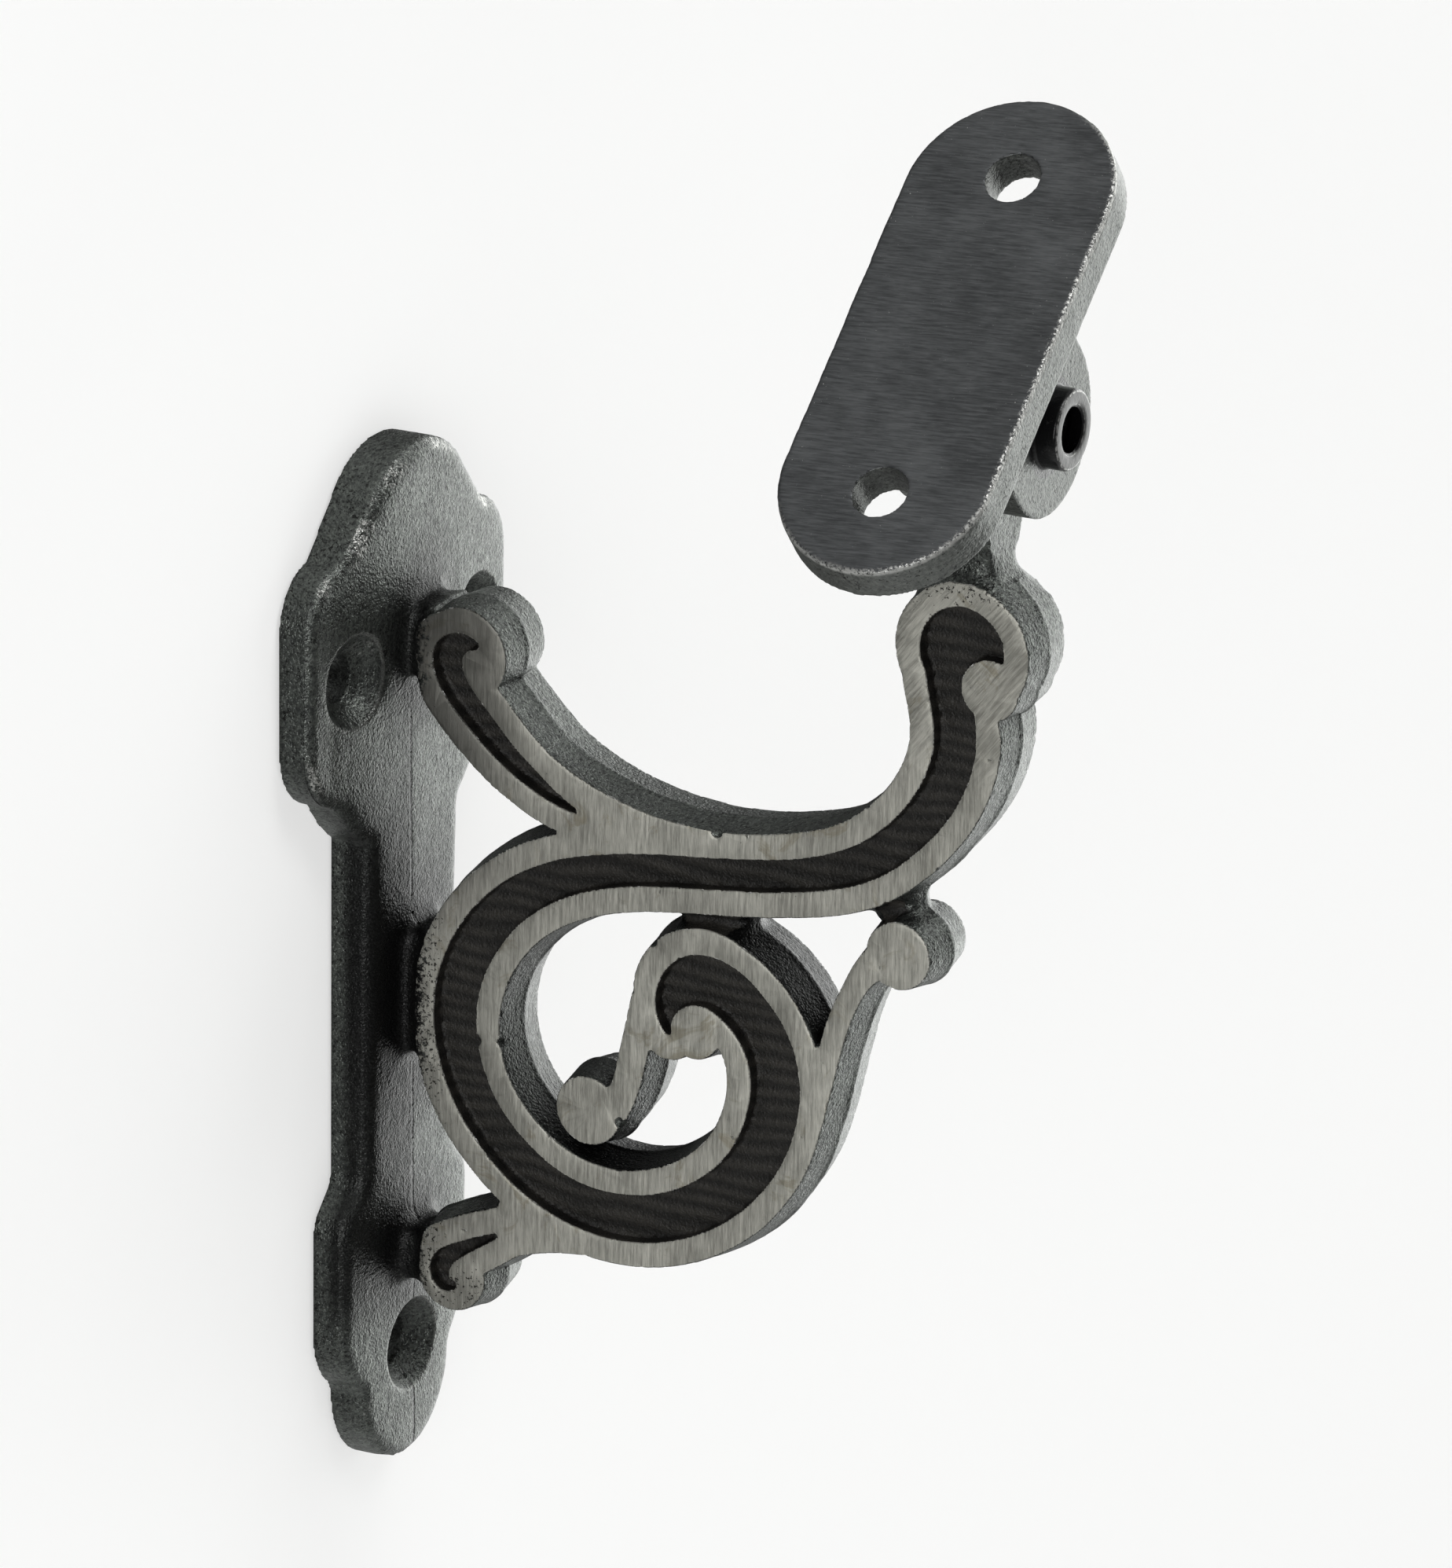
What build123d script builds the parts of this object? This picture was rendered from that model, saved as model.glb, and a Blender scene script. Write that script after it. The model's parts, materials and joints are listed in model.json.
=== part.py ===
from build123d import *
from math import hypot, radians, tan
import os

# Cast-iron stair handrail bracket: a wall plate and scroll arm in one casting, a tilting rail saddle
# and the hollow rivet that the saddle turns on.  Millimetres.  +X stands out from the wall, +Y runs
# along the wall and +Z is up.  The origin is the middle of the wall plate's back face.

# ---- overall sizes -------------------------------------------------------------------------------
projection = 78.8          # wall to the middle of the rail saddle
pivot_height = 77.6        # plate middle up to the saddle's pivot
plate_height = 127.0
plate_width = 45.0         # across the shoulders
waist_width = 20.6
foot_width = 29.0
plate_thickness = 6.0      # on the centre line, at the plate's middle
plate_lean = 0.7           # degrees that the front leans out towards the top
plate_crown_radius = 300.0
plate_edge_radius = 1.6
cap_inset = 11.5           # domed cap: in from the shoulders and down from the top
cap_drop = 5.5
slope_inset = 6.3          # end of the straight slope below the cap
slope_drop = 11.1
shoulder_drop = 18.0       # straight shoulder: start below the top, and length
shoulder_length = 15.0
waist_drop = 46.6          # straight waist: start below the top
waist_rise = 38.7          # and end above the foot
toe_rise = 30.9            # straight toe: start and end above the foot
toe_end = 19.5
tip_rise = 10.8            # rounded tip at the foot

# ---- wall screws ---------------------------------------------------------------------------------
screw_hole = 5.6           # clearance for a 5 mm wood screw
screw_dish = 11.6          # 45 degree countersink at the front face
upper_screw_spacing = 28.0
upper_screw_drop = 25.6    # plate's top down to the upper screws
lower_screw_rise = 14.3    # plate's foot up to the lower screw

# ---- scroll arm ----------------------------------------------------------------------------------
arm_thickness = 9.5
rim_width = 3.1            # raised border beside each sunk channel
channel_depth = 2.0
root_width = 8.0           # the arm's three roots on the plate, across
web_thickness = 5.0        # thin webs that tie the scroll's loops together

# ---- pivot ---------------------------------------------------------------------------------------
rivet_diameter = 7.8
rivet_wall = 1.25
rivet_head_overhang = 0.8  # head beyond the shank, all round
rivet_head_height = 2.9
rivet_head_chamfer = 0.5
tongue_thickness = 5.0
eye_radius = 8.5           # round end of the tongue, about the rivet
neck_width = 7.4           # tongue at its foot, across
neck_flare = 1.5           # how much wider each side of the neck is halfway up to the eye
running_clearance = 0.06   # rivet in the tongue, on the radius
seat_clearance = 0.02      # rivet in the saddle's ears, on the radius
side_clearance = 0.15      # tongue to each ear

# ---- rail saddle ---------------------------------------------------------------------------------
saddle_length = 63.5
saddle_width = 25.4
saddle_thickness = 4.9
saddle_top = 16.8          # pivot to the rail face
saddle_edge_radius = 0.5
rail_hole = 6.5
rail_hole_spacing = 42.4
ear_thickness = 5.1
ear_radius = 10.5
rest_tilt = 41.5           # the saddle's rake as the bracket stands

# The scroll was drawn at these sizes; its points follow when the real ones change.
DRAWN_PROJECTION = 78.8
DRAWN_PIVOT_HEIGHT = 77.6
DRAWN_PLATE_HEIGHT = 127.0
SAMPLES_PER_STATION = 2
OVERLAP = 0.5              # how far joined shapes run into each other
FAR = 100.0

# Channel of the main scroll, from the hook in its eye out and round to the neck: x, z, half width.
MAIN_CHANNEL = [
    (41.7, -1.3, 0.4), (41.2, 0.7, 1.1), (41.8, 2.7, 1.8), (43.5, 4.7, 2.7), (46.6, 5.7, 3.2),
    (50.4, 4.1, 3.15), (53.7, 0.8, 3.1), (55.6, -4.2, 3.15), (55.3, -9.8, 3.1), (52.9, -15.6, 2.95),
    (48.6, -20.5, 2.9), (42.8, -24.0, 2.9), (36.1, -25.6, 2.85), (28.2, -24.6, 2.75),
    (21.4, -20.7, 2.7), (16.3, -14.8, 2.7), (13.7, -7.5, 2.8), (14.1, 0.0, 2.8), (17.4, 6.9, 2.65),
    (22.8, 12.3, 2.4), (30.0, 15.9, 2.1), (39.0, 18.0, 1.9), (49.0, 19.2, 1.9), (58.4, 20.8, 1.95),
    (66.3, 23.6, 2.15), (72.5, 28.7, 2.25), (76.3, 34.3, 2.45), (77.8, 40.8, 2.6), (77.3, 45.2, 2.8),
    (77.6, 48.6, 3.9),
]
UPPER_COMMA = [
    (15.7, 41.5, 0.6), (14.0, 41.4, 1.25), (12.4, 39.9, 1.9), (12.5, 37.6, 1.85), (14.0, 35.1, 1.75),
    (16.2, 32.7, 1.7), (18.4, 30.5, 1.55), (20.8, 28.4, 1.35), (23.3, 26.6, 1.1), (25.7, 25.1, 0.8),
    (30.0, 23.3, 0.15),
]
LOWER_COMMA = [
    (13.3, -38.5, 0.6), (11.9, -38.0, 1.2), (11.7, -36.3, 1.3), (13.0, -34.7, 1.05),
    (15.2, -33.3, 0.75), (17.6, -32.0, 0.5), (19.8, -30.8, 0.15),
]
OUTER_SPUR = [
    (70.5, 13.0, 2.5), (67.2, 10.7, 1.7), (65.5, 7.9, 1.4), (64.1, 4.8, 1.4), (63.0, 1.3, 1.4),
    (62.0, -2.7, 1.4), (61.0, -7.2, 1.4), (59.5, -12.0, 1.4),
]
INNER_SPUR = [
    (33.0, -13.1, 2.8), (35.4, -10.9, 1.9), (36.6, -7.6, 1.8), (37.3, -4.4, 1.8), (37.9, -1.4, 1.8),
    (38.4, 2.0, 1.6),
]
# The bowl's upper edge under the rail, and the belly's lower edge back to the plate.
BOWL_EDGE = [
    (19.0, 35.6), (22.5, 32.4), (27.5, 28.9), (33.0, 26.4), (40.0, 24.7), (47.5, 24.3), (54.0, 24.9),
]
BOWL_INSIDE = [(54.0, 21.0), (33.0, 19.0), (26.8, 20.8), (20.0, 27.5), (16.0, 33.0)]
BELLY_EDGE = [(17.6, -35.8), (20.0, -34.0), (22.8, -32.9), (26.0, -32.0), (30.0, -31.4), (36.0, -31.4)]
BELLY_INSIDE = [(36.0, -29.0), (27.0, -28.5), (20.0, -26.0), (19.3, -27.6), (14.0, -32.5)]

# Round ends of the scroll: x, z, radius.
UPPER_KNOB = (14.3, 40.1, 5.7)
LOWER_KNOB = (13.2, -37.2, 4.5)
NECK_VOLUTE = (78.4, 51.0, 5.3)      # channel's round end; its rim adds to this
NECK_BEAD = (82.0, 47.0, 3.6)
EYE_CHANNEL = (46.4, 2.7, 6.3)       # round start of the main channel; its rim adds to this
HOOK_END = (41.7, -1.3, 0.4)
EYE_BEAD = (45.1, -0.8, 3.3)
OUTER_BEAD = (71.2, 13.3, 4.05)
INNER_BEAD = (31.3, -13.1, 4.2)

# Roots of the arm on the plate and webs between its loops: low and high x, z corners.
ROOTS = [((3.0, 36.2), (10.0, 44.8)), ((3.0, -10.6), (10.0, 4.6)), ((3.0, -39.6), (10.0, -33.0))]
WEBS = [((42.4, 11.0), (50.2, 15.6)), ((67.0, 16.6), (71.6, 21.4))]


def scroll_point(x, z):
    """A drawn point, stretched out with the projection, up with the pivot and down with the plate."""
    if z > 0:
        tall = pivot_height / DRAWN_PIVOT_HEIGHT
    else:
        tall = plate_height / DRAWN_PLATE_HEIGHT
    return (x * projection / DRAWN_PROJECTION, z * tall)


def disc(place, grow=0.0):
    """Flat disc of the scroll at x, z and radius, made larger by grow."""
    x, z, radius = place
    return Pos(*scroll_point(x, z)) * Circle(radius + grow)


def ribbon(stations, grow=0.0):
    """Flat strip along x, z, half-width stations, wider by grow on each side, with round ends."""
    spine = Spline(*[(*scroll_point(x, z), half) for x, z, half in stations])
    count = SAMPLES_PER_STATION * (len(stations) - 1)
    left, right = [], []
    for step in range(count + 1):
        point = spine.position_at(step / count)
        along = spine.tangent_at(step / count)
        length = hypot(along.X, along.Y)
        across = Vector(-along.Y / length, along.X / length)
        middle = Vector(point.X, point.Y)
        half = point.Z + grow
        left.append(middle + across * half)
        right.append(middle - across * half)
        if step == 0:
            start_tip = middle - Vector(across.Y, -across.X) * half
        if step == count:
            end_tip = middle + Vector(across.Y, -across.X) * half
    outline = [Spline(*left), ThreePointArc(left[-1], end_tip, right[-1])]
    outline += [Spline(*reversed(right)), ThreePointArc(right[0], start_tip, left[0])]
    return make_face(outline)


def filled(edge, closing):
    """Flat area between a smooth edge and the straight lines through the closing points."""
    edge_points = [scroll_point(x, z) for x, z in edge]
    close_points = [scroll_point(x, z) for x, z in closing]
    back = Polyline(edge_points[-1], *close_points, edge_points[0])
    return make_face([Spline(*edge_points), back])


def upright(flat, half_thickness):
    """A flat x, z shape given its thickness, half to each side of the arm's middle."""
    return Plane.XZ * extrude(flat, half_thickness, both=True)


def sunk_channels():
    """The main scroll's channel and the comma-shaped recesses of the two branches, at one face."""
    main = ribbon(MAIN_CHANNEL) + disc(NECK_VOLUTE) - disc(NECK_BEAD)
    return [main, ribbon(UPPER_COMMA), ribbon(LOWER_COMMA)]


def arm_outline():
    """The scroll arm seen from the side, with its loops open."""
    outline = ribbon(MAIN_CHANNEL[4:], rim_width) + disc(NECK_VOLUTE, rim_width) + disc(NECK_BEAD)
    # The eye's border is round; only its upper part is solid, and the bead closes it.
    below_bead = scroll_point(0, EYE_BEAD[1])[1] - FAR / 2
    outline += disc(EYE_CHANNEL, rim_width) - Pos(0, below_bead) * Rectangle(2 * FAR, FAR)
    outline += disc(EYE_BEAD) + disc(HOOK_END, rim_width)
    outline += ribbon(UPPER_COMMA[2:], rim_width) + disc(UPPER_KNOB)
    outline += ribbon(LOWER_COMMA[3:], rim_width) + disc(LOWER_KNOB)
    outline += filled(BOWL_EDGE, BOWL_INSIDE) + filled(BELLY_EDGE, BELLY_INSIDE)
    outline += ribbon(OUTER_SPUR) + disc(OUTER_BEAD)
    outline += ribbon(INNER_SPUR) + disc(INNER_BEAD)
    return outline


def block_between(low, high, depth):
    """Upright block between two drawn x, z corners, depth across the arm."""
    (x_low, z_low), (x_high, z_high) = scroll_point(*low), scroll_point(*high)
    middle = Pos((x_low + x_high) / 2, 0, (z_low + z_high) / 2)
    return middle * Box(x_high - x_low, depth, z_high - z_low)


def scroll_arm():
    """The flat arm with its sunk channels on both faces, its plate roots and the webs that tie it."""
    arm = upright(arm_outline(), arm_thickness / 2)
    for side in (-1, 1):
        face_offset = side * (arm_thickness - channel_depth) / 2
        for channel in sunk_channels():
            arm -= Pos(0, face_offset, 0) * upright(channel, channel_depth / 2)
    for low, high in ROOTS:
        arm += block_between(low, high, root_width)
    for low, high in WEBS:
        arm += block_between(low, high, web_thickness)
    return arm


def tongue():
    """Upright tongue on the neck volute, flared towards its round eye for the rivet."""
    foot = scroll_point(0, NECK_VOLUTE[1])[1] + NECK_VOLUTE[2] + rim_width / 2
    height = pivot_height - foot
    half_neck, half_blade = neck_width / 2, tongue_thickness / 2
    right_side = [(half_neck, foot), (half_neck, foot + height * 0.25)]
    right_side += [(half_neck + neck_flare, foot + height * 0.48)]
    right_side += [(eye_radius * 0.95, pivot_height - eye_radius * 0.31)]
    left_side = [(-y, z) for y, z in reversed(right_side)]
    neck = [Spline(*right_side), Line(right_side[-1], left_side[0])]
    neck += [Spline(*left_side), Line(left_side[-1], right_side[0])]
    profile = make_face(neck) + Pos(0, pivot_height) * Circle(eye_radius)
    profile -= Pos(0, pivot_height) * Circle(rivet_diameter / 2 + running_clearance)
    blade = Plane.YZ * extrude(profile, half_blade, both=True)
    blade = Pos(projection, 0, 0) * blade
    # The foot spreads along the volute's crown, more towards the wall than away from it.
    crown = foot + rim_width / 2
    wall_side = [(-half_blade - 4.5, -0.6), (-half_blade - 1.4, 0.9), (-half_blade, 4.0)]
    open_side = [(half_blade, 1.4), (half_blade + 0.4, 0.5), (half_blade + 1.4, -0.6)]
    base = [(open_side[-1][0], -2.5), (wall_side[0][0], -2.5)]
    spread = [Spline(*wall_side), Line(wall_side[-1], open_side[0]), Spline(*open_side)]
    spread += [Polyline(open_side[-1], *base, wall_side[0])]
    return blade + upright(Pos(projection, crown) * make_face(spread), half_neck)


def plate_outline():
    """Stepped outline of the wall plate, one half drawn from the top down and mirrored."""
    top, foot = plate_height / 2, -plate_height / 2
    side, waist, toe = plate_width / 2, waist_width / 2, foot_width / 2
    cap = (side - cap_inset, top - cap_drop)
    slope_end = (side - slope_inset, top - slope_drop)
    shoulder, shoulder_end = (side, top - shoulder_drop), (side, top - shoulder_drop - shoulder_length)
    turn_end = (side - slope_inset, shoulder_end[1] - 7.6)
    waist_start, waist_end = (waist, top - waist_drop), (waist, foot + waist_rise)
    step = ((waist + toe) / 2, waist_end[1] - 3.1)
    toe_start, toe_stop = (toe, foot + toe_rise), (toe, foot + toe_end)
    notch, tip = (waist + 0.7, foot + tip_rise + 1.4), (waist, foot + tip_rise)
    half = [ThreePointArc((0, top), (cap[0] * 0.59, top - cap_drop * 0.28), cap), Line(cap, slope_end)]
    half += [ThreePointArc(slope_end, (side - 1.9, slope_end[1] - 2.4), shoulder)]
    half += [Line(shoulder, shoulder_end)]
    half += [ThreePointArc(shoulder_end, (side - 1.6, shoulder_end[1] - 4.5), turn_end)]
    turn_middle = ((turn_end[0] + waist) / 2 + 0.3, (turn_end[1] + waist_start[1]) / 2 - 0.3)
    half += [ThreePointArc(turn_end, turn_middle, waist_start), Line(waist_start, waist_end)]
    half += [ThreePointArc(waist_end, (waist + 0.8, waist_end[1] - 1.8), step)]
    half += [ThreePointArc(step, (toe - 0.5, toe_start[1] + 2.8), toe_start), Line(toe_start, toe_stop)]
    half += [ThreePointArc(toe_stop, (toe - 1.0, toe_stop[1] - 4.5), notch), Line(notch, tip)]
    half += [ThreePointArc(tip, (waist * 0.71, foot + 3.1), (0, foot)), Line((0, foot), (0, top))]
    right = make_face(half)
    return right + mirror(right, about=Plane.YZ)


def plate_front(y, z):
    """Distance from the wall to the plate's front at a point of it."""
    return plate_thickness + z * tan(radians(plate_lean)) - y * y / (2 * plate_crown_radius)


def screw_seat(y, z):
    """Through hole and conical dish for one wall screw, cut from the plate's front."""
    dish_depth = (screw_dish - screw_hole) / 2
    hole = Plane.YZ * extrude(Pos(y, z) * Circle(screw_hole / 2), plate_thickness * 2, both=True)
    cone = Rot(0, 90, 0) * Cone(screw_hole / 2, screw_dish / 2 + OVERLAP, dish_depth + OVERLAP)
    return hole + Pos(plate_front(y, z) - (dish_depth - OVERLAP) / 2, y, z) * cone


def wall_plate():
    """Stepped plate with a crowned front, rounded front edges and three dished screw holes."""
    slab = Plane.YZ * extrude(plate_outline(), plate_thickness * 2)
    crown = Pos(plate_thickness, 0, 0) * Rot(0, plate_lean, 0) * Pos(-plate_crown_radius, 0, 0)
    plate = slab & crown * Cylinder(plate_crown_radius, plate_height * 2)
    front_edges = [edge for edge in plate.edges() if edge.bounding_box().min.X > plate_thickness / 2]
    plate = fillet(front_edges, plate_edge_radius)
    for side in (-1, 1):
        plate -= screw_seat(side * upper_screw_spacing / 2, plate_height / 2 - upper_screw_drop)
    plate -= screw_seat(0, lower_screw_rise - plate_height / 2)
    return plate


def wall_bracket():
    """The whole casting: plate, scroll arm and tongue, poured in one piece."""
    return wall_plate() + scroll_arm() + tongue()


def saddle_at_level():
    """Rail saddle standing level, with the pivot at its origin and its length along Y."""
    underside = saddle_top - saddle_thickness
    plan = SlotOverall(saddle_length, saddle_width, rotation=90)
    top_plate = Pos(0, 0, underside) * extrude(plan, saddle_thickness)
    top_plate = fillet(top_plate.faces().sort_by(Axis.Z)[-1].edges(), saddle_edge_radius)
    for side in (-1, 1):
        hole = Cylinder(rail_hole / 2, saddle_thickness * 4)
        top_plate -= Pos(0, side * rail_hole_spacing / 2, saddle_top) * hole
    ear_height = underside + OVERLAP
    ear_profile = Circle(ear_radius) + Pos(0, ear_height / 2) * Rectangle(2 * ear_radius, ear_height)
    ear_profile -= Circle(rivet_diameter / 2 + seat_clearance)
    ear = Plane.YZ * extrude(ear_profile, ear_thickness / 2, both=True)
    reach = tongue_thickness / 2 + side_clearance + ear_thickness / 2
    return top_plate + Pos(-reach, 0, 0) * ear + Pos(reach, 0, 0) * ear


def at_pivot(piece):
    """Tilt a piece to the saddle's rake and move it to the pivot."""
    return Pos(projection, 0, pivot_height) * Rot(rest_tilt, 0, 0) * piece


def rail_saddle():
    """Flat rail plate with two ears that straddle the tongue, one casting."""
    return at_pivot(saddle_at_level())


def pivot_rivet():
    """Hollow rivet through both ears and the tongue, with a spun head at each end."""
    span = tongue_thickness + 2 * (side_clearance + ear_thickness)
    shank = Cylinder(rivet_diameter / 2, span + 2 * OVERLAP)
    for side in (-1, 1):
        head = Cylinder(rivet_diameter / 2 + rivet_head_overhang, rivet_head_height)
        outer = head.faces().sort_by(Axis.Z)[-1 if side > 0 else 0]
        head = chamfer(outer.edges(), rivet_head_chamfer)
        shank += Pos(0, 0, side * (span + rivet_head_height) / 2) * head
    shank -= Cylinder(rivet_diameter / 2 - rivet_wall, span + 4 * rivet_head_height)
    return at_pivot(Rot(0, 90, 0) * shank)


os.makedirs("parts", exist_ok=True)
for make in (wall_bracket, rail_saddle, pivot_rivet):
    export_step(make(), f"parts/{make.__name__}.step")
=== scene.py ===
"""Looks of a scrolled cast-iron handrail bracket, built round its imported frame.  Metres throughout."""
import json
import logging
import math
from dataclasses import dataclass, field
from enum import Enum

import bpy
import numpy as np
from mathutils import Matrix, Vector
from mathutils.kdtree import KDTree


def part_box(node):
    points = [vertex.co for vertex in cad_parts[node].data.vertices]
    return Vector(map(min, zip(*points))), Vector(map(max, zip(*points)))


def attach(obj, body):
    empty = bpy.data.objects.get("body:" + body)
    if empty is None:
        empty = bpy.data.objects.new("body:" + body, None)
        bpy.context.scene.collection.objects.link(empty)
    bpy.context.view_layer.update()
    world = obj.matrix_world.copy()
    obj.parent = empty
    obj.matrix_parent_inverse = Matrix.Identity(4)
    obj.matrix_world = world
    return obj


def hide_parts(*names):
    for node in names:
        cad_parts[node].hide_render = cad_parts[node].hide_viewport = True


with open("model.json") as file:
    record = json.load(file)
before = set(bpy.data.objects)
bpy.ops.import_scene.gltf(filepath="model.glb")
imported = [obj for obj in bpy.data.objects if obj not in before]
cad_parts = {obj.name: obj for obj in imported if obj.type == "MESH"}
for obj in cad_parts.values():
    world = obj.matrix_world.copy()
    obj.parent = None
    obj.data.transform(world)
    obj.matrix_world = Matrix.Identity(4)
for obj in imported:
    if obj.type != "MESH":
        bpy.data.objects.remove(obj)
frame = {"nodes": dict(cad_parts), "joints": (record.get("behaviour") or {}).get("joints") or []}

log = logging.getLogger("handrail_bracket")
logging.basicConfig(level=logging.INFO, format="%(name)s: %(message)s")

MM = 0.001


class Group(Enum):
    """Vertex groups that limit where a modifier works."""

    FILLET = "fillet"
    PARTING = "parting"
    RIDGES = "ridges"
    SKIN = "skin"
    NICKS = "nicks"
    SEAM = "seam"
    DENTS = "dents"
    CROWN = "crown"


class Mask(Enum):
    """Point attributes that the finishes read."""

    SUNK = "sunk"
    RIDGE = "ridge"
    DENT = "dent"


# ---- small tools ---------------------------------------------------------------------------------


def deselect_all() -> None:
    """Leave nothing selected, so that the next operator acts on its own piece only."""
    bpy.ops.object.select_all(action="DESELECT")


def activate(piece: bpy.types.Object) -> None:
    """Select one piece alone and make it active.

    Args:
        piece: the object that the next operators work on.
    """
    deselect_all()
    piece.select_set(True)
    bpy.context.view_layer.objects.active = piece


def points_mm(piece: bpy.types.Object) -> np.ndarray:
    """Vertex positions of a piece in millimetres, one row each."""
    flat = np.empty(len(piece.data.vertices) * 3, np.float32)
    piece.data.vertices.foreach_get("co", flat)
    return flat.reshape(-1, 3).astype(float) / MM


def normals_of(piece: bpy.types.Object) -> np.ndarray:
    """Vertex normals of a piece, one row each."""
    flat = np.empty(len(piece.data.vertices) * 3, np.float32)
    piece.data.vertex_normals.foreach_get("vector", flat)
    return flat.reshape(-1, 3).astype(float)


def ramp(values: np.ndarray, low: float, high: float) -> np.ndarray:
    """Smooth step of values from 0 at low to 1 at high.

    Args:
        values: numbers to map.
        low: where the step begins; it may be above high, and the step then falls.
        high: where the step ends.

    Returns:
        Numbers from 0 to 1.
    """
    share = np.clip((values - low) / (high - low), 0.0, 1.0)
    return share * share * (3.0 - 2.0 * share)


def band(values: np.ndarray, low: float, high: float, soft: float) -> np.ndarray:
    """1 between low and high, falling to 0 over soft on each side."""
    return ramp(values, low - soft, low) * ramp(values, high + soft, high)


def drift(points: np.ndarray, wavelength: float, seed: int, waves: int = 12) -> np.ndarray:
    """Smooth seeded unevenness over space, about -1 to 1.

    Args:
        points: positions in millimetres.
        wavelength: typical length of a wave in millimetres.
        seed: picks one pattern.
        waves: how many sine waves are added.

    Returns:
        One number for each point.
    """
    chance = np.random.default_rng(seed)
    total = np.zeros(len(points))
    for _ in range(waves):
        heading = chance.normal(size=3)
        heading *= 2.0 * math.pi / (wavelength * chance.uniform(0.6, 1.6) * np.linalg.norm(heading))
        total += np.sin(points @ heading + chance.uniform(0.0, 2.0 * math.pi))
    return total / math.sqrt(waves)


def set_group(piece: bpy.types.Object, group: Group, weights: np.ndarray) -> None:
    """Write a vertex group from one weight for each vertex.

    Args:
        piece: the mesh object.
        group: which group to write.
        weights: a number from 0 to 1 for each vertex; zeros are left out of the group.
    """
    old = piece.vertex_groups.get(group.value)
    if old is not None:
        piece.vertex_groups.remove(old)
    made = piece.vertex_groups.new(name=group.value)
    levels = 64
    steps = np.rint(np.clip(weights, 0.0, 1.0) * levels).astype(int)
    for level in range(1, levels + 1):
        members = np.flatnonzero(steps == level)
        if len(members):
            made.add(members.tolist(), level / levels, "REPLACE")


def set_mask(piece: bpy.types.Object, mask: Mask, values: np.ndarray) -> None:
    """Write a point attribute for a finish to read."""
    attribute = piece.data.attributes.get(mask.value)
    if attribute is None:
        attribute = piece.data.attributes.new(mask.value, "FLOAT", "POINT")
    attribute.data.foreach_set("value", values.astype(np.float32))


def apply_modifier(piece: bpy.types.Object, kind: str, **settings: object) -> None:
    """Add one modifier, set it and apply it.

    Args:
        piece: the mesh object.
        kind: Blender's name of the modifier's type.
        **settings: the modifier's properties.
    """
    activate(piece)
    modifier = piece.modifiers.new(kind.lower(), kind)
    for name, value in settings.items():
        setattr(modifier, name, value)
    bpy.ops.object.modifier_apply(modifier=modifier.name)


def smooth_group(piece: bpy.types.Object, weights: np.ndarray, turns: int, factor: float = 0.5) -> None:
    """Relax part of a mesh, which rounds its corners.

    Args:
        piece: the mesh object.
        weights: how much each vertex takes part.
        turns: how often the relaxing repeats.
        factor: how far a vertex goes each time.
    """
    set_group(piece, Group.FILLET, weights)
    apply_modifier(piece, "SMOOTH", factor=factor, iterations=turns, vertex_group=Group.FILLET.value)


def push(piece: bpy.types.Object, group: Group, weights: np.ndarray, distance: float,
         direction: str = "NORMAL") -> None:
    """Move part of a mesh along its normals or along one axis.

    Args:
        piece: the mesh object.
        group: the vertex group to use.
        weights: share of the distance for each vertex.
        distance: metres outwards, or inwards where it is negative.
        direction: NORMAL, or an axis of the piece.
    """
    set_group(piece, group, weights)
    apply_modifier(piece, "DISPLACE", strength=distance, mid_level=0.0, vertex_group=group.value,
                   direction=direction)


def grain(piece: bpy.types.Object, weights: np.ndarray, size: float, height: float) -> None:
    """Roughen part of a mesh with a cloud pattern, as sand does to a casting.

    Args:
        piece: the mesh object.
        weights: how much each vertex takes part.
        size: width of the pattern's lumps in metres.
        height: from the deepest to the highest point, in metres.
    """
    clouds = bpy.data.textures.new("sand", "CLOUDS")
    clouds.noise_scale = size
    clouds.noise_depth = 2
    set_group(piece, Group.SKIN, weights)
    apply_modifier(piece, "DISPLACE", texture=clouds, texture_coords="LOCAL", strength=height,
                   mid_level=0.5, vertex_group=Group.SKIN.value)
    bpy.data.textures.remove(clouds)


def triangle_count(piece: bpy.types.Object) -> int:
    """Triangles that a mesh has when its faces are cut up."""
    return sum(len(polygon.vertices) - 2 for polygon in piece.data.polygons)


# ---- node graphs ---------------------------------------------------------------------------------


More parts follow.
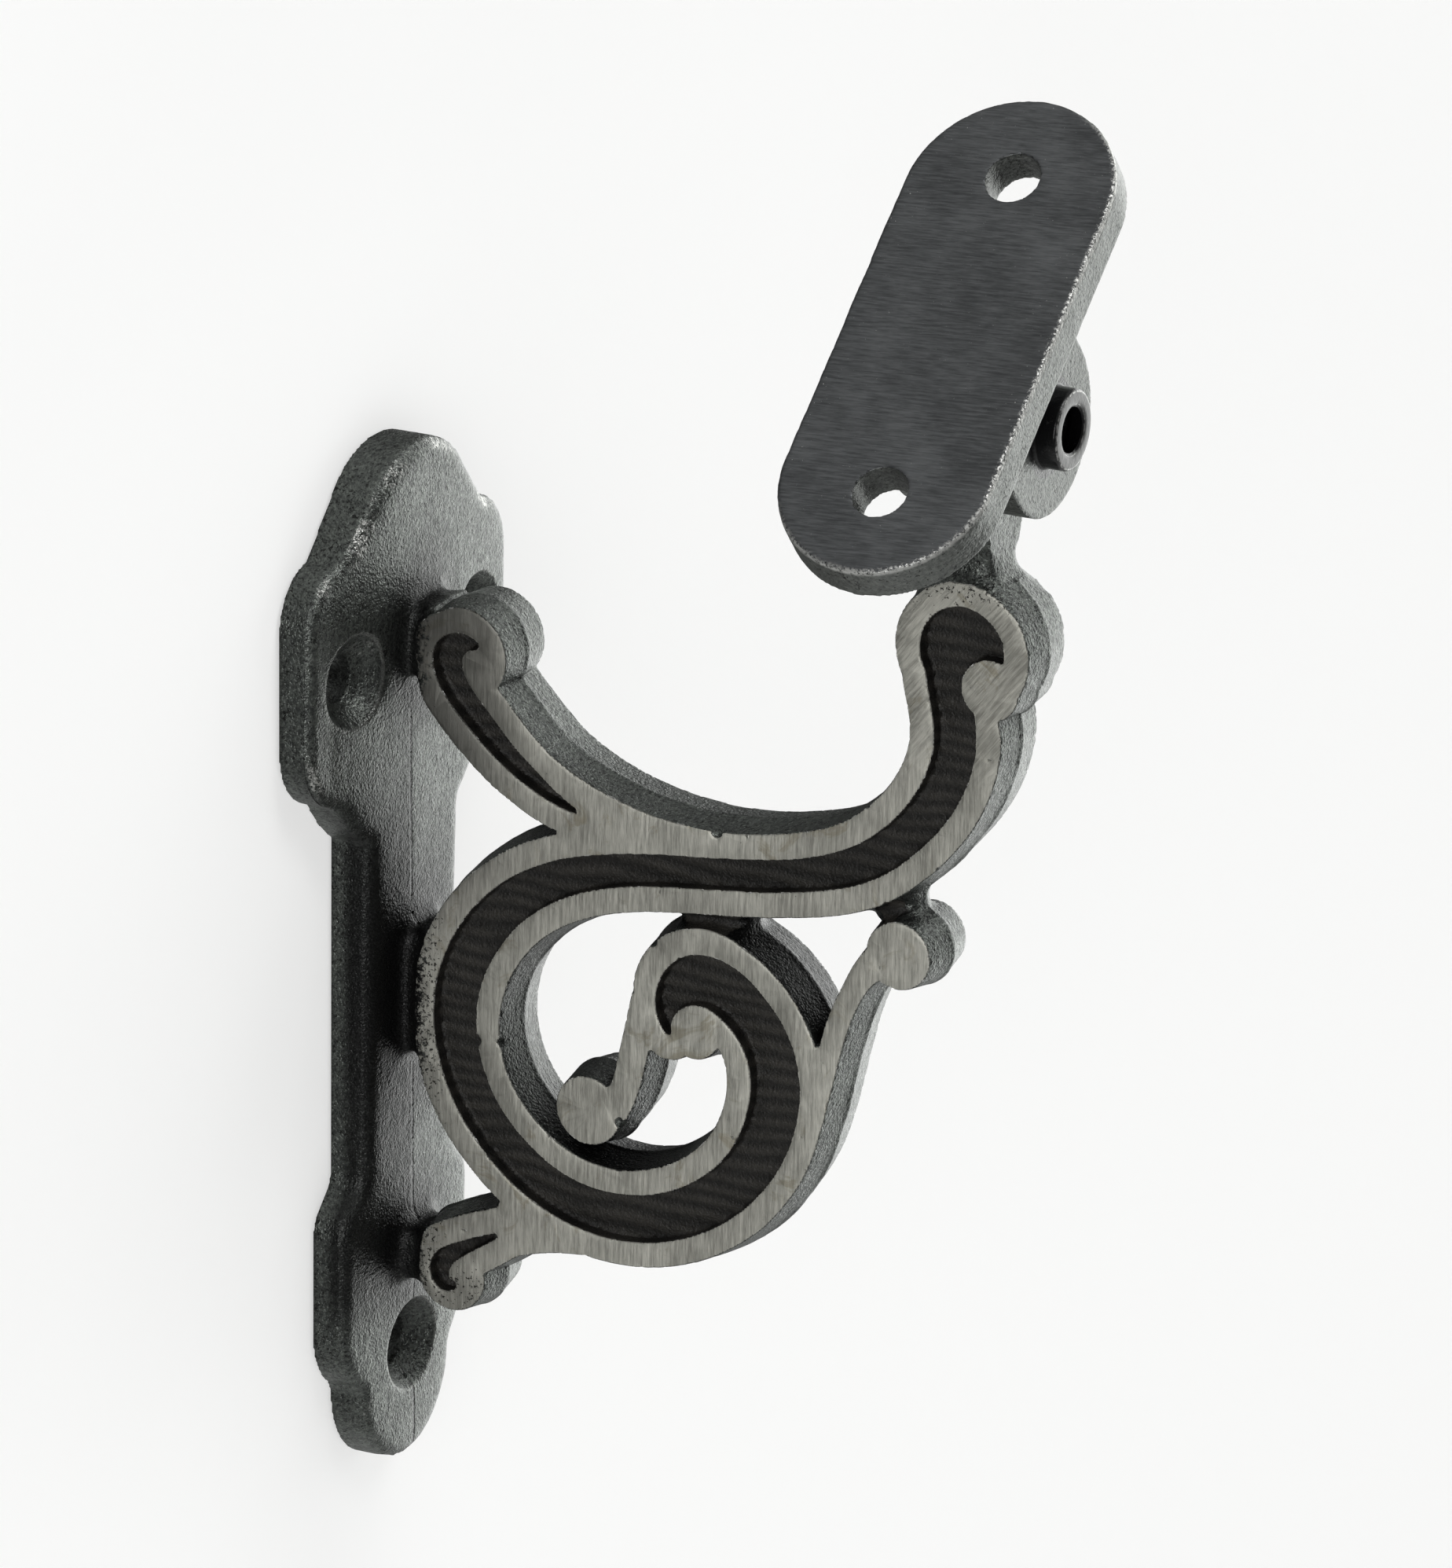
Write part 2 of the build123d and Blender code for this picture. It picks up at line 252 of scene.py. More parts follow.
class Graph:
    """Shorthand for wiring one node tree."""

    def __init__(self, tree: bpy.types.NodeTree) -> None:
        """Start from an existing tree."""
        self.tree = tree

    def node(self, kind: str, inputs: dict | None = None, **settings: object) -> bpy.types.Node:
        """Add a node.

        Args:
            kind: the node's type name.
            inputs: values or sockets by input name or number.
            **settings: the node's own properties.

        Returns:
            The new node.
        """
        made = self.tree.nodes.new(kind)
        for name, value in settings.items():
            setattr(made, name, value)
        for name, value in (inputs or {}).items():
            if isinstance(value, bpy.types.NodeSocket):
                self.tree.links.new(value, made.inputs[name])
            else:
                made.inputs[name].default_value = value
        return made

    def math(self, operation: str, first: object, second: object = 0.0, third: object = 0.0,
             clamp: bool = False) -> bpy.types.NodeSocket:
        """One math node's result."""
        made = self.node("ShaderNodeMath", {0: first, 1: second, 2: third}, operation=operation,
                         use_clamp=clamp)
        return made.outputs[0]

    def span(self, value: object, low: float, high: float, to_low: float = 0.0,
             to_high: float = 1.0) -> bpy.types.NodeSocket:
        """Value mapped smoothly from low..high to to_low..to_high."""
        made = self.node("ShaderNodeMapRange", {"Value": value, "From Min": low, "From Max": high,
                                                "To Min": to_low, "To Max": to_high},
                         interpolation_type="SMOOTHSTEP")
        return made.outputs[0]

    def mix(self, share: object, first: object, second: object) -> bpy.types.NodeSocket:
        """Colour between first and second."""
        made = self.node("ShaderNodeMix", data_type="RGBA", clamp_factor=True)
        for name, value in ((0, share), (6, first), (7, second)):
            if isinstance(value, bpy.types.NodeSocket):
                self.tree.links.new(value, made.inputs[name])
            elif name == 0:
                made.inputs[name].default_value = value
            else:
                made.inputs[name].default_value = (*value, 1.0)
        return made.outputs[2]

    def blend(self, share: object, first: object, second: object) -> bpy.types.NodeSocket:
        """Number between first and second."""
        made = self.node("ShaderNodeMix", {0: share, 2: first, 3: second}, data_type="FLOAT",
                         clamp_factor=True)
        return made.outputs[0]

    def stretch(self, vector: bpy.types.NodeSocket, scale: tuple[float, float, float],
                turn: tuple[float, float, float] = (0.0, 0.0, 0.0)) -> bpy.types.NodeSocket:
        """Coordinates turned by turn, then scaled."""
        turned = self.node("ShaderNodeMapping", {"Vector": vector, "Rotation": turn}).outputs[0]
        return self.node("ShaderNodeVectorMath", {0: turned, 1: scale},
                         operation="MULTIPLY").outputs[0]

    def noise(self, vector: bpy.types.NodeSocket, scale: float, detail: float = 3.0,
              rough: float = 0.55, twist: float = 0.0) -> bpy.types.NodeSocket:
        """Noise value about 0 to 1, with scale in lumps per millimetre."""
        made = self.node("ShaderNodeTexNoise", {"Vector": vector, "Scale": scale, "Detail": detail,
                                                "Roughness": rough, "Distortion": twist})
        return made.outputs[0]

    def bump(self, height: object, distance: float, strength: float = 1.0,
             normal: bpy.types.NodeSocket | None = None) -> bpy.types.NodeSocket:
        """Normal bent by a height in millimetres, where distance is metres for each unit."""
        inputs = {"Height": height, "Distance": distance, "Strength": strength}
        if normal is not None:
            inputs["Normal"] = normal
        return self.node("ShaderNodeBump", inputs).outputs[0]


@dataclass
class Coordinates:
    """Millimetre coordinates of a piece inside its finish."""

    vector: bpy.types.NodeSocket
    x: bpy.types.NodeSocket
    y: bpy.types.NodeSocket
    z: bpy.types.NodeSocket


def new_finish(name: str) -> tuple[bpy.types.Material, Graph, bpy.types.Node]:
    """Make an empty material.

    Args:
        name: the material's name.

    Returns:
        The material, its graph and its surface shader.
    """
    material = bpy.data.materials.new(name)
    material.use_nodes = True
    graph = Graph(material.node_tree)
    return material, graph, material.node_tree.nodes["Principled BSDF"]


def object_mm(graph: Graph) -> Coordinates:
    """Object coordinates in millimetres."""
    place = graph.node("ShaderNodeTexCoord").outputs["Object"]
    scaled = graph.node("ShaderNodeVectorMath", {0: place, 3: 1.0 / MM}, operation="SCALE").outputs[0]
    parts = graph.node("ShaderNodeSeparateXYZ", {0: scaled}).outputs
    return Coordinates(scaled, parts[0], parts[1], parts[2])


# ---- finishes ------------------------------------------------------------------------------------


@dataclass(frozen=True)
class CastSkin:
    """Sand-cast iron skin: gunmetal, finely grained, with dark specks and painted shade in its hollows."""

    light: tuple[float, float, float] = (0.142, 0.154, 0.141)
    dark: tuple[float, float, float] = (0.050, 0.053, 0.051)
    speck: tuple[float, float, float] = (0.018, 0.018, 0.017)
    # Near-black colour of the painted shade in hollows, also used for the parting crack.
    shade_and_crack_black: tuple[float, float, float] = (0.012, 0.012, 0.012)
    grain_per_mm: float = 1.9
    hollow_shade_reach: float = 0.006

    def colour(self, g: Graph, at: Coordinates) -> bpy.types.NodeSocket:
        """Base colour of the skin."""
        coarse = g.noise(at.vector, 0.16, 4.0, 0.6)
        fine = g.noise(at.vector, self.grain_per_mm, 3.0, 0.65)
        tone = g.math("ADD", g.math("MULTIPLY", coarse, 0.25), g.math("MULTIPLY", fine, 1.35))
        base = g.mix(g.span(tone, 0.50, 1.12), self.dark, self.light)
        thick = g.span(g.noise(at.vector, 0.13, 2.0, 0.5), 0.40, 0.65, 0.0, 0.045)
        specks = g.span(g.math("ADD", g.noise(at.vector, 2.6, 2.0, 0.6), thick), 0.605, 0.655)
        base = g.mix(g.math("MULTIPLY", specks, 0.9), base, self.speck)
        # Painted shade: ambient occlusion darkens hollows and crevices towards the near-black shade colour, on the
        # bracket and the saddle alike.
        open_sky = g.node("ShaderNodeAmbientOcclusion", {"Distance": self.hollow_shade_reach}, samples=6,
                          only_local=True).outputs["AO"]
        hollow_shade = g.span(g.math("ADD", open_sky, g.math("MULTIPLY", fine, 0.25)), 1.02, 0.50)
        return g.mix(g.math("MULTIPLY", hollow_shade, 0.93), base, self.shade_and_crack_black)

    def height(self, g: Graph, at: Coordinates) -> bpy.types.NodeSocket:
        """Height of the grain, about 0 to 1."""
        lumps = g.noise(at.vector, self.grain_per_mm, 2.0, 0.5)
        sand = g.noise(at.vector, self.grain_per_mm * 1.9, 2.0, 0.5)
        return g.math("ADD", g.math("MULTIPLY", lumps, 0.6), g.math("MULTIPLY", sand, 0.6))


@dataclass(frozen=True)
class GroundFace:
    """Linished flat face: bare grey iron with fine belt lines, stains and pits."""

    light: tuple[float, float, float] = (0.640, 0.632, 0.570)
    dark: tuple[float, float, float] = (0.290, 0.286, 0.254)
    stain: tuple[float, float, float] = (0.270, 0.240, 0.165)
    pit: tuple[float, float, float] = (0.015, 0.014, 0.012)
    wall_shade: tuple[float, float, float] = (0.075, 0.074, 0.068)
    lines_per_mm: float = 3.6
    along: float = 0.30

    def lines(self, g: Graph, at: Coordinates) -> bpy.types.NodeSocket:
        """Belt lines, upright on most of the face and slanted on the neck's volute."""
        upright = g.noise(g.stretch(at.vector, (self.lines_per_mm, 0.3, self.along)), 1.0, 4.0, 0.7)
        slant = g.stretch(at.vector, (self.lines_per_mm, 0.3, self.along), (0.0, math.radians(-38.0), 0.0))
        slanted = g.noise(slant, 1.0, 4.0, 0.7)
        on_volute = g.math("MULTIPLY", g.span(at.z, 33.0, 42.0), g.span(at.x, 60.0, 64.0))
        return g.blend(on_volute, upright, slanted)

    def colour(self, g: Graph, at: Coordinates, lines: bpy.types.NodeSocket) -> bpy.types.NodeSocket:
        """Base colour of the ground face, with painted shade that darkens it towards the wall plate."""
        cloudy = g.noise(at.vector, 0.09, 4.0, 0.6)
        tone = g.math("ADD", g.math("MULTIPLY", lines, 0.75), g.math("MULTIPLY", cloudy, 0.5))
        base = g.mix(g.span(tone, 0.38, 0.88), self.dark, self.light)
        stained = g.math("MULTIPLY", g.span(g.noise(at.vector, 0.14, 5.0, 0.65, 1.2), 0.56, 0.68), 0.55)
        base = g.mix(stained, base, self.stain)
        # Painted shade: the face darkens towards the wall plate, less so low down.
        near_wall = g.math("MULTIPLY", g.span(at.x, 29.0, 11.0), g.span(at.z, 8.0, 32.0, 0.35, 1.0))
        return g.mix(g.math("MULTIPLY", near_wall, 0.85), base, self.wall_shade)


@dataclass(frozen=True)
class SunkChannel:
    """Floor and walls of the sunk channels: near black, brownish and dull, left as cast."""

    crest: tuple[float, float, float] = (0.026, 0.0235, 0.0195)
    trough: tuple[float, float, float] = (0.006, 0.0055, 0.0045)

    def colour(self, g: Graph, at: Coordinates) -> bpy.types.NodeSocket:
        """Base colour of the channel, a little lighter on its ridges."""
        ridge = g.node("ShaderNodeAttribute", attribute_name=Mask.RIDGE.value).outputs["Fac"]
        fine = g.noise(at.vector, 2.4, 3.0, 0.6)
        cloudy = g.noise(at.vector, 0.20, 3.0, 0.6)
        ridge = g.math("MULTIPLY", ridge, g.math("MULTIPLY", cloudy, 0.8))
        tone = g.math("ADD", ridge, g.math("MULTIPLY", fine, 0.7))
        return g.mix(g.span(tone, 0.25, 0.95), self.trough, self.crest)


@dataclass(frozen=True)
class BracketFinish:
    """Finish of the whole bracket casting: skin, ground faces and sunk channels in one material."""

    half_arm: float
    skin: CastSkin = CastSkin()
    ground: GroundFace = GroundFace()
    channel: SunkChannel = SunkChannel()
    # Bright worn metal, also the colour of the painted highlight on the dish rims.
    burr_and_rim_highlight: tuple[float, float, float] = (0.50, 0.50, 0.48)
    root_shade: tuple[float, float, float] = (0.012, 0.012, 0.012)
    screws: tuple[tuple[float, float], ...] = ((-14.0, 37.9), (14.0, 37.9), (0.0, -49.2))
    dish_radius: float = 5.75
    # Gaps of the scroll that get painted shade: centre x and z, half widths in x and z, and strength.
    pockets: tuple[tuple[float, float, float, float, float], ...] = (
        (54.5, 9.5, 10.5, 8.0, 0.9), (20.0, -27.5, 8.0, 3.6, 0.9), (38.0, -19.0, 10.0, 4.0, 0.9),
        (28.0, 19.5, 6.0, 3.0, 0.7), (26.0, -5.0, 9.0, 14.0, 0.5), (43.0, -8.0, 8.0, 9.0, 0.4))
    rubbed_spots: tuple[tuple[float, float, float], ...] = (
        (-11.5, 61.2, 3.0), (-13.9, 56.2, 3.0), (-12.1, 53.8, 3.5), (-17.0, 55.8, 3.0), (-5.3, 59.9, 3.0),
        (-20.6, 51.5, 2.5), (-21.6, 28.0, 3.2), (5.2, 60.3, 2.5), (2.7, 61.9, 2.5), (15.0, 52.0, 3.0))

    def ground_mask(self, g: Graph, at: Coordinates, across: bpy.types.NodeSocket) -> bpy.types.NodeSocket:
        """1 on the linished faces of the arm, speckled where they run out at the wall and the neck."""
        proud = g.span(across, self.half_arm - 0.16, self.half_arm - 0.07)
        patchy = g.noise(at.vector, 1.3, 4.0, 0.7)
        edge = g.math("ADD", at.x, g.math("MULTIPLY", g.math("SUBTRACT", patchy, 0.5), 9.0))
        from_wall = g.span(edge, 8.4, 9.4)
        below_tongue = g.math("MAXIMUM", g.span(at.z, 59.9, 59.5), g.span(at.x, 66.0, 65.0))
        return g.math("MULTIPLY", proud, g.math("MULTIPLY", from_wall, below_tongue))

    def pits(self, g: Graph, at: Coordinates) -> bpy.types.NodeSocket:
        """Dark pits that the belt didn't reach, thickest at the neck's crown, the ring and the knobs."""
        fine = g.noise(at.vector, 1.9, 3.0, 0.7)
        crown = g.math("MULTIPLY", g.span(at.z, 53.0, 59.0), g.span(at.x, 66.0, 70.0))
        ring = g.math("MULTIPLY", g.span(at.x, 14.5, 10.0), g.span(at.z, 16.0, 8.0))
        foot = g.math("MULTIPLY", g.span(at.z, -33.0, -38.0), 0.9)
        thick = g.math("MAXIMUM", g.math("MAXIMUM", crown, ring), foot)
        level = g.math("MULTIPLY_ADD", thick, -0.155, 0.715)
        return g.span(g.math("SUBTRACT", fine, level), 0.0, 0.02)

    def wear_and_dish_highlight(self, g: Graph, at: Coordinates, across: bpy.types.NodeSocket) -> bpy.types.NodeSocket:
        """Bright metal on the plate's rounded edges and in thin broken burrs along the ground faces, with a painted
        highlight round the screw dishes' rims.
        """
        facing = g.node("ShaderNodeSeparateXYZ", {0: g.node("ShaderNodeNewGeometry").outputs["Normal"]}).outputs[0]
        rounded = g.math("MULTIPLY", g.span(facing, 0.40, 0.60), g.span(facing, 0.995, 0.93))
        plate = g.math("MULTIPLY", g.span(at.x, 2.4, 3.6), g.span(at.x, 7.4, 6.8))
        patches = g.math("MULTIPLY", g.span(g.noise(at.vector, 0.16, 2.0, 0.5), 0.55, 0.70), 0.5)
        for y, z, reach in self.rubbed_spots:
            off = g.node("ShaderNodeVectorMath", {0: at.vector, 1: (5.0, y, z)}, operation="DISTANCE")
            patches = g.math("MAXIMUM", patches, g.span(off.outputs["Value"], reach * 1.5, reach * 0.3))
        flecks = g.span(g.math("MULTIPLY_ADD", patches, 0.12, g.noise(at.vector, 2.0, 4.0, 0.8)), 0.58, 0.66)
        on_plate = g.math("MULTIPLY", g.math("MULTIPLY", rounded, plate), g.math("MULTIPLY", patches, flecks))
        on_plate = g.math("MULTIPLY", on_plate, g.math("SUBTRACT", 1.0, self.root_soot_and_shade(g, at)))
        # Painted highlight: a thin broken bright ring round the rim of each screw dish.
        for y, z in self.screws:
            off_y, off_z = g.math("SUBTRACT", at.y, y), g.math("SUBTRACT", at.z, z)
            far = g.math("SQRT", g.math("ADD", g.math("POWER", off_y, 2.0), g.math("POWER", off_z, 2.0)))
            ring = g.span(g.math("ABSOLUTE", g.math("SUBTRACT", far, self.dish_radius)), 0.28, 0.10)
            ring = g.math("MULTIPLY", ring, g.math("MULTIPLY", g.span(at.x, 3.5, 4.5), 0.30))
            on_plate = g.math("MAXIMUM", on_plate, g.math("MULTIPLY", ring, g.span(flecks, 0.0, 1.0, 0.5, 1.0)))
        band_low = g.span(across, self.half_arm - 0.22, self.half_arm - 0.16)
        line = g.math("MULTIPLY", band_low, g.span(across, self.half_arm - 0.06, self.half_arm - 0.10))
        broken = g.span(g.noise(at.vector, 0.45, 4.0, 0.8), 0.57, 0.63)
        on_arm = g.math("MULTIPLY", g.math("MULTIPLY", line, broken), g.span(at.x, 8.0, 9.0))
        return g.math("MAXIMUM", on_plate, g.math("MULTIPLY", on_arm, 0.8))

    def root_soot_and_shade(self, g: Graph, at: Coordinates) -> bpy.types.NodeSocket:
        """Dark halo on the plate round the arm's three roots: soot where nothing rubs it clean, with painted shade
        where the plate meets the roots.
        """
        total = None
        for height, reach in ((40.5, 13.0), (-3.0, 21.0), (-36.0, 12.0)):
            up = g.math("MULTIPLY", g.math("SUBTRACT", at.z, height), 0.75)
            far = g.math("SQRT", g.math("ADD", g.math("POWER", at.y, 2.0), g.math("POWER", up, 2.0)))
            ragged = g.math("MULTIPLY_ADD", g.noise(at.vector, 0.5, 4.0, 0.7), 4.0, far)
            near = g.span(ragged, reach + 2.0, reach * 0.30)
            total = near if total is None else g.math("MAXIMUM", total, near)
        return g.math("MULTIPLY", total, g.math("MULTIPLY", g.span(at.x, 10.6, 8.6), g.span(at.x, 1.0, 3.0)))

    def pocket_shade(self, g: Graph, at: Coordinates) -> bpy.types.NodeSocket:
        """Painted shade on the walls of the narrow gaps in the scroll."""
        total = None
        for x, z, half_x, half_z, share in self.pockets:
            off_x = g.math("MULTIPLY", g.math("SUBTRACT", at.x, x), 1.0 / half_x)
            off_z = g.math("MULTIPLY", g.math("SUBTRACT", at.z, z), 1.0 / half_z)
            far = g.math("SQRT", g.math("ADD", g.math("POWER", off_x, 2.0), g.math("POWER", off_z, 2.0)))
            near = g.span(far, 1.15, 0.75, 0.0, share)
            total = near if total is None else g.math("MAXIMUM", total, near)
        return total

    def off_parting(self, g: Graph, at: Coordinates) -> bpy.types.NodeSocket:
        """Distance along the wall from the wandering parting line of the plate's front."""
        wander = g.math("MULTIPLY", g.math("SUBTRACT", g.noise(at.vector, 0.5, 3.0, 0.6), 0.5), 0.7)
        slanted = g.math("MULTIPLY_ADD", at.z, 0.037, 1.65)
        return g.math("ADD", g.math("ADD", at.y, slanted), wander)

    def crack(self, g: Graph, at: Coordinates) -> bpy.types.NodeSocket:
        """Broken hairline of the mould's parting down the middle of the plate's front."""
        line = g.span(g.math("ABSOLUTE", self.off_parting(g, at)), 0.34, 0.16)
        present = g.span(g.noise(g.stretch(at.vector, (0.0, 0.0, 0.20)), 1.0, 3.0, 0.7), 0.43, 0.49)
        on_plate = g.math("MULTIPLY", g.span(at.x, 7.2, 6.8), g.span(at.x, 3.0, 4.0))
        on_plate = g.math("MULTIPLY", on_plate, g.span(at.z, 34.0, 31.0))
        return g.math("MULTIPLY", g.math("MULTIPLY", line, present), on_plate)

    def material(self) -> bpy.types.Material:
        """Build the material."""
        material, g, surface = new_finish("cast_and_ground_iron")
        at = object_mm(g)
        across = g.math("ABSOLUTE", at.y)
        sunk = g.span(g.node("ShaderNodeAttribute", attribute_name=Mask.SUNK.value).outputs["Fac"], 0.3, 0.6)
        ground = self.ground_mask(g, at, across)
        dents = g.node("ShaderNodeAttribute", attribute_name=Mask.DENT.value).outputs["Fac"]
        pits = g.math("MAXIMUM", self.pits(g, at), g.span(dents, 0.25, 0.6))
        # worn holds the edge wear and the painted highlight on the dish rims.
        worn = self.wear_and_dish_highlight(g, at, across)
        crack = self.crack(g, at)
        lines = self.ground.lines(g, at)

        # Painted shade: the plate's front is darkened on the near side of the parting line, between the foot and the
        # upper roots.
        near_half_shade = g.math("MULTIPLY", g.span(self.off_parting(g, at), 0.1, -0.5), g.span(at.z, 36.0, 12.0, 0.0, 0.84))
        near_half_shade = g.math("MULTIPLY", near_half_shade, g.span(at.z, -47.0, -38.0))
        near_half_shade = g.math("MULTIPLY", near_half_shade, g.math("MULTIPLY", g.span(at.x, 7.4, 7.0), g.span(at.x, 1.0, 3.0)))
        base = g.mix(near_half_shade, self.skin.colour(g, at), self.root_shade)
        # Painted shade round the roots and in the gaps, with soot at the roots, in the root shade colour.
        dark = g.math("MAXIMUM", self.root_soot_and_shade(g, at), self.pocket_shade(g, at))
        base = g.mix(dark, base, self.root_shade)
        base = g.mix(g.math("MULTIPLY", crack, 0.9), base, self.skin.shade_and_crack_black)
        base = g.mix(sunk, base, self.channel.colour(g, at))
        faced = g.mix(g.math("MULTIPLY", pits, 0.9), self.ground.colour(g, at, lines), self.ground.pit)
        base = g.mix(ground, base, faced)
        base = g.mix(worn, base, self.burr_and_rim_highlight)
        g.tree.links.new(base, surface.inputs["Base Color"])

        rough_skin = g.span(g.noise(at.vector, 0.8, 4.0, 0.6), 0.3, 0.7, 0.24, 0.36)
        rough = g.blend(sunk, rough_skin, 0.55)
        rough = g.blend(ground, rough, g.span(lines, 0.3, 0.7, 0.50, 0.62))
        rough = g.blend(worn, rough, 0.30)
        g.tree.links.new(rough, surface.inputs["Roughness"])
        metal = g.blend(sunk, 0.80, 0.25)
        metal = g.blend(g.math("MAXIMUM", ground, worn), metal, 0.85)
        g.tree.links.new(metal, surface.inputs["Metallic"])

        sand = g.math("MULTIPLY", self.skin.height(g, at), g.math("SUBTRACT", 1.0, ground))
        belt = g.math("MULTIPLY", g.math("MULTIPLY", lines, 0.22), ground)
        height = g.math("ADD", sand, belt)
        height = g.math("SUBTRACT", height, g.math("MULTIPLY", g.math("MULTIPLY", pits, ground), 1.2))
        height = g.math("SUBTRACT", height, g.math("MULTIPLY", crack, 2.5))
        g.tree.links.new(g.bump(height, 0.00022), surface.inputs["Normal"])
        return material


@dataclass(frozen=True)
class SaddleFinish:
    """Rail saddle: dark linished rail face, speckled bright edges with a painted highlight on the lit side, grained
    cast flanks and ears.
    """

    pivot: Vector
    tilt: float
    top: float
    half_width: float
    straight: float
    face: tuple[float, float, float] = (0.048, 0.050, 0.052)
    face_light: tuple[float, float, float] = (0.140, 0.144, 0.149)
    # Bright metal of the dust specks and of the painted highlight on the rim.
    bright: tuple[float, float, float] = (0.60, 0.60, 0.58)
    blacking: tuple[float, float, float] = (0.008, 0.008, 0.009)
    skin: CastSkin = CastSkin(light=(0.150, 0.158, 0.148), dark=(0.080, 0.084, 0.080))
    ring_radius: float = 5.9

    def level(self, g: Graph) -> Coordinates:
        """Coordinates in millimetres with the saddle level and the pivot at the origin."""
        place = g.node("ShaderNodeTexCoord").outputs["Object"]
        moved = g.node("ShaderNodeVectorMath", {0: place, 1: tuple(self.pivot)}, operation="SUBTRACT").outputs[0]
        turned = g.node("ShaderNodeMapping", {"Vector": moved, "Rotation": (-self.tilt, 0.0, 0.0)}).outputs[0]
        scaled = g.node("ShaderNodeVectorMath", {0: turned, 3: 1.0 / MM}, operation="SCALE").outputs[0]
        parts = g.node("ShaderNodeSeparateXYZ", {0: scaled}).outputs
        return Coordinates(scaled, parts[0], parts[1], parts[2])

    def edge_distance(self, g: Graph, at: Coordinates) -> bpy.types.NodeSocket:
        """Distance in from the rail plate's outline, in millimetres."""
        beyond = g.math("MAXIMUM", g.math("SUBTRACT", g.math("ABSOLUTE", at.y), self.straight), 0.0)
        far = g.math("SQRT", g.math("ADD", g.math("POWER", beyond, 2.0), g.math("POWER", at.x, 2.0)))
        return g.math("SUBTRACT", self.half_width, far)

    def material(self) -> bpy.types.Material:
        """Build the material."""
        material, g, surface = new_finish("saddle_iron")
        at = self.level(g)
        on_top = g.span(at.z, self.top - 0.22, self.top - 0.12)
        inset = self.edge_distance(g, at)
        belt = g.noise(g.stretch(at.vector, (0.30, 3.4, 0.3), (0.0, 0.0, math.radians(-4.0))), 1.0, 3.0, 0.7)
        cloudy = g.noise(at.vector, 0.10, 4.0, 0.6)
        tone = g.math("ADD", g.math("MULTIPLY", belt, 0.7), g.math("MULTIPLY", cloudy, 0.5))
        face = g.mix(g.span(tone, 0.38, 0.86), self.face, self.face_light)
        dust = g.span(g.noise(at.vector, 3.0, 3.0, 0.7), 0.700, 0.725)
        near_end = g.span(g.math("SUBTRACT", g.noise(at.vector, 0.2, 3.0, 0.6), g.math("MULTIPLY", inset, 0.05)), 0.30, 0.55)
        dust = g.math("MULTIPLY", dust, g.math("MULTIPLY_ADD", near_end, 0.8, 0.25))

        # Painted highlight: the speckled bright rim of the rail face, partly chips, is kept to the side towards the
        # light and to the low end.
        low_end = g.math("MULTIPLY", g.span(at.y, -22.0, -31.0), 0.9)
        sunny = g.math("MAXIMUM", g.span(at.x, 2.0, 11.0), low_end)
        chipped = g.span(g.math("SUBTRACT", g.noise(at.vector, 2.4, 4.0, 0.8), g.math("MULTIPLY", inset, 0.25)), 0.36, 0.47)
        rim = g.math("MULTIPLY", g.math("MULTIPLY", chipped, sunny), g.span(inset, 0.72, 0.20))
        rim = g.math("MULTIPLY", rim, g.span(at.z, self.top - 0.9, self.top - 0.3))

        skin = self.skin.colour(g, at)
        axis_far = g.math("SQRT", g.math("ADD", g.math("POWER", at.y, 2.0), g.math("POWER", at.z, 2.0)))
        ragged = g.math("MULTIPLY_ADD", g.noise(at.vector, 0.7, 4.0, 0.7), 1.2, axis_far)
        painted = g.span(ragged, self.ring_radius + 0.7, self.ring_radius + 0.3)
        skin = g.mix(g.math("MULTIPLY", painted, 0.95), skin, self.blacking)
        base = g.mix(on_top, skin, face)
        base = g.mix(g.math("MAXIMUM", g.math("MULTIPLY", rim, 0.9), g.math("MULTIPLY", dust, on_top)), base, self.bright)
        g.tree.links.new(base, surface.inputs["Base Color"])

        rough = g.blend(on_top, 0.36, g.span(belt, 0.3, 0.7, 0.34, 0.48))
        rough = g.blend(g.math("MULTIPLY", painted, 0.9), rough, 0.22)
        g.tree.links.new(rough, surface.inputs["Roughness"])
        metal = g.blend(painted, g.blend(on_top, 0.80, 0.85), 0.1)
        g.tree.links.new(metal, surface.inputs["Metallic"])
        sand = g.math("MULTIPLY", self.skin.height(g, at), g.math("SUBTRACT", 1.0, on_top))
        height = g.math("ADD", sand, g.math("MULTIPLY", g.math("MULTIPLY", belt, 0.20), on_top))
        height = g.math("SUBTRACT", height, g.math("MULTIPLY", rim, 0.5))
        g.tree.links.new(g.bump(height, 0.00012), surface.inputs["Normal"])
        return material


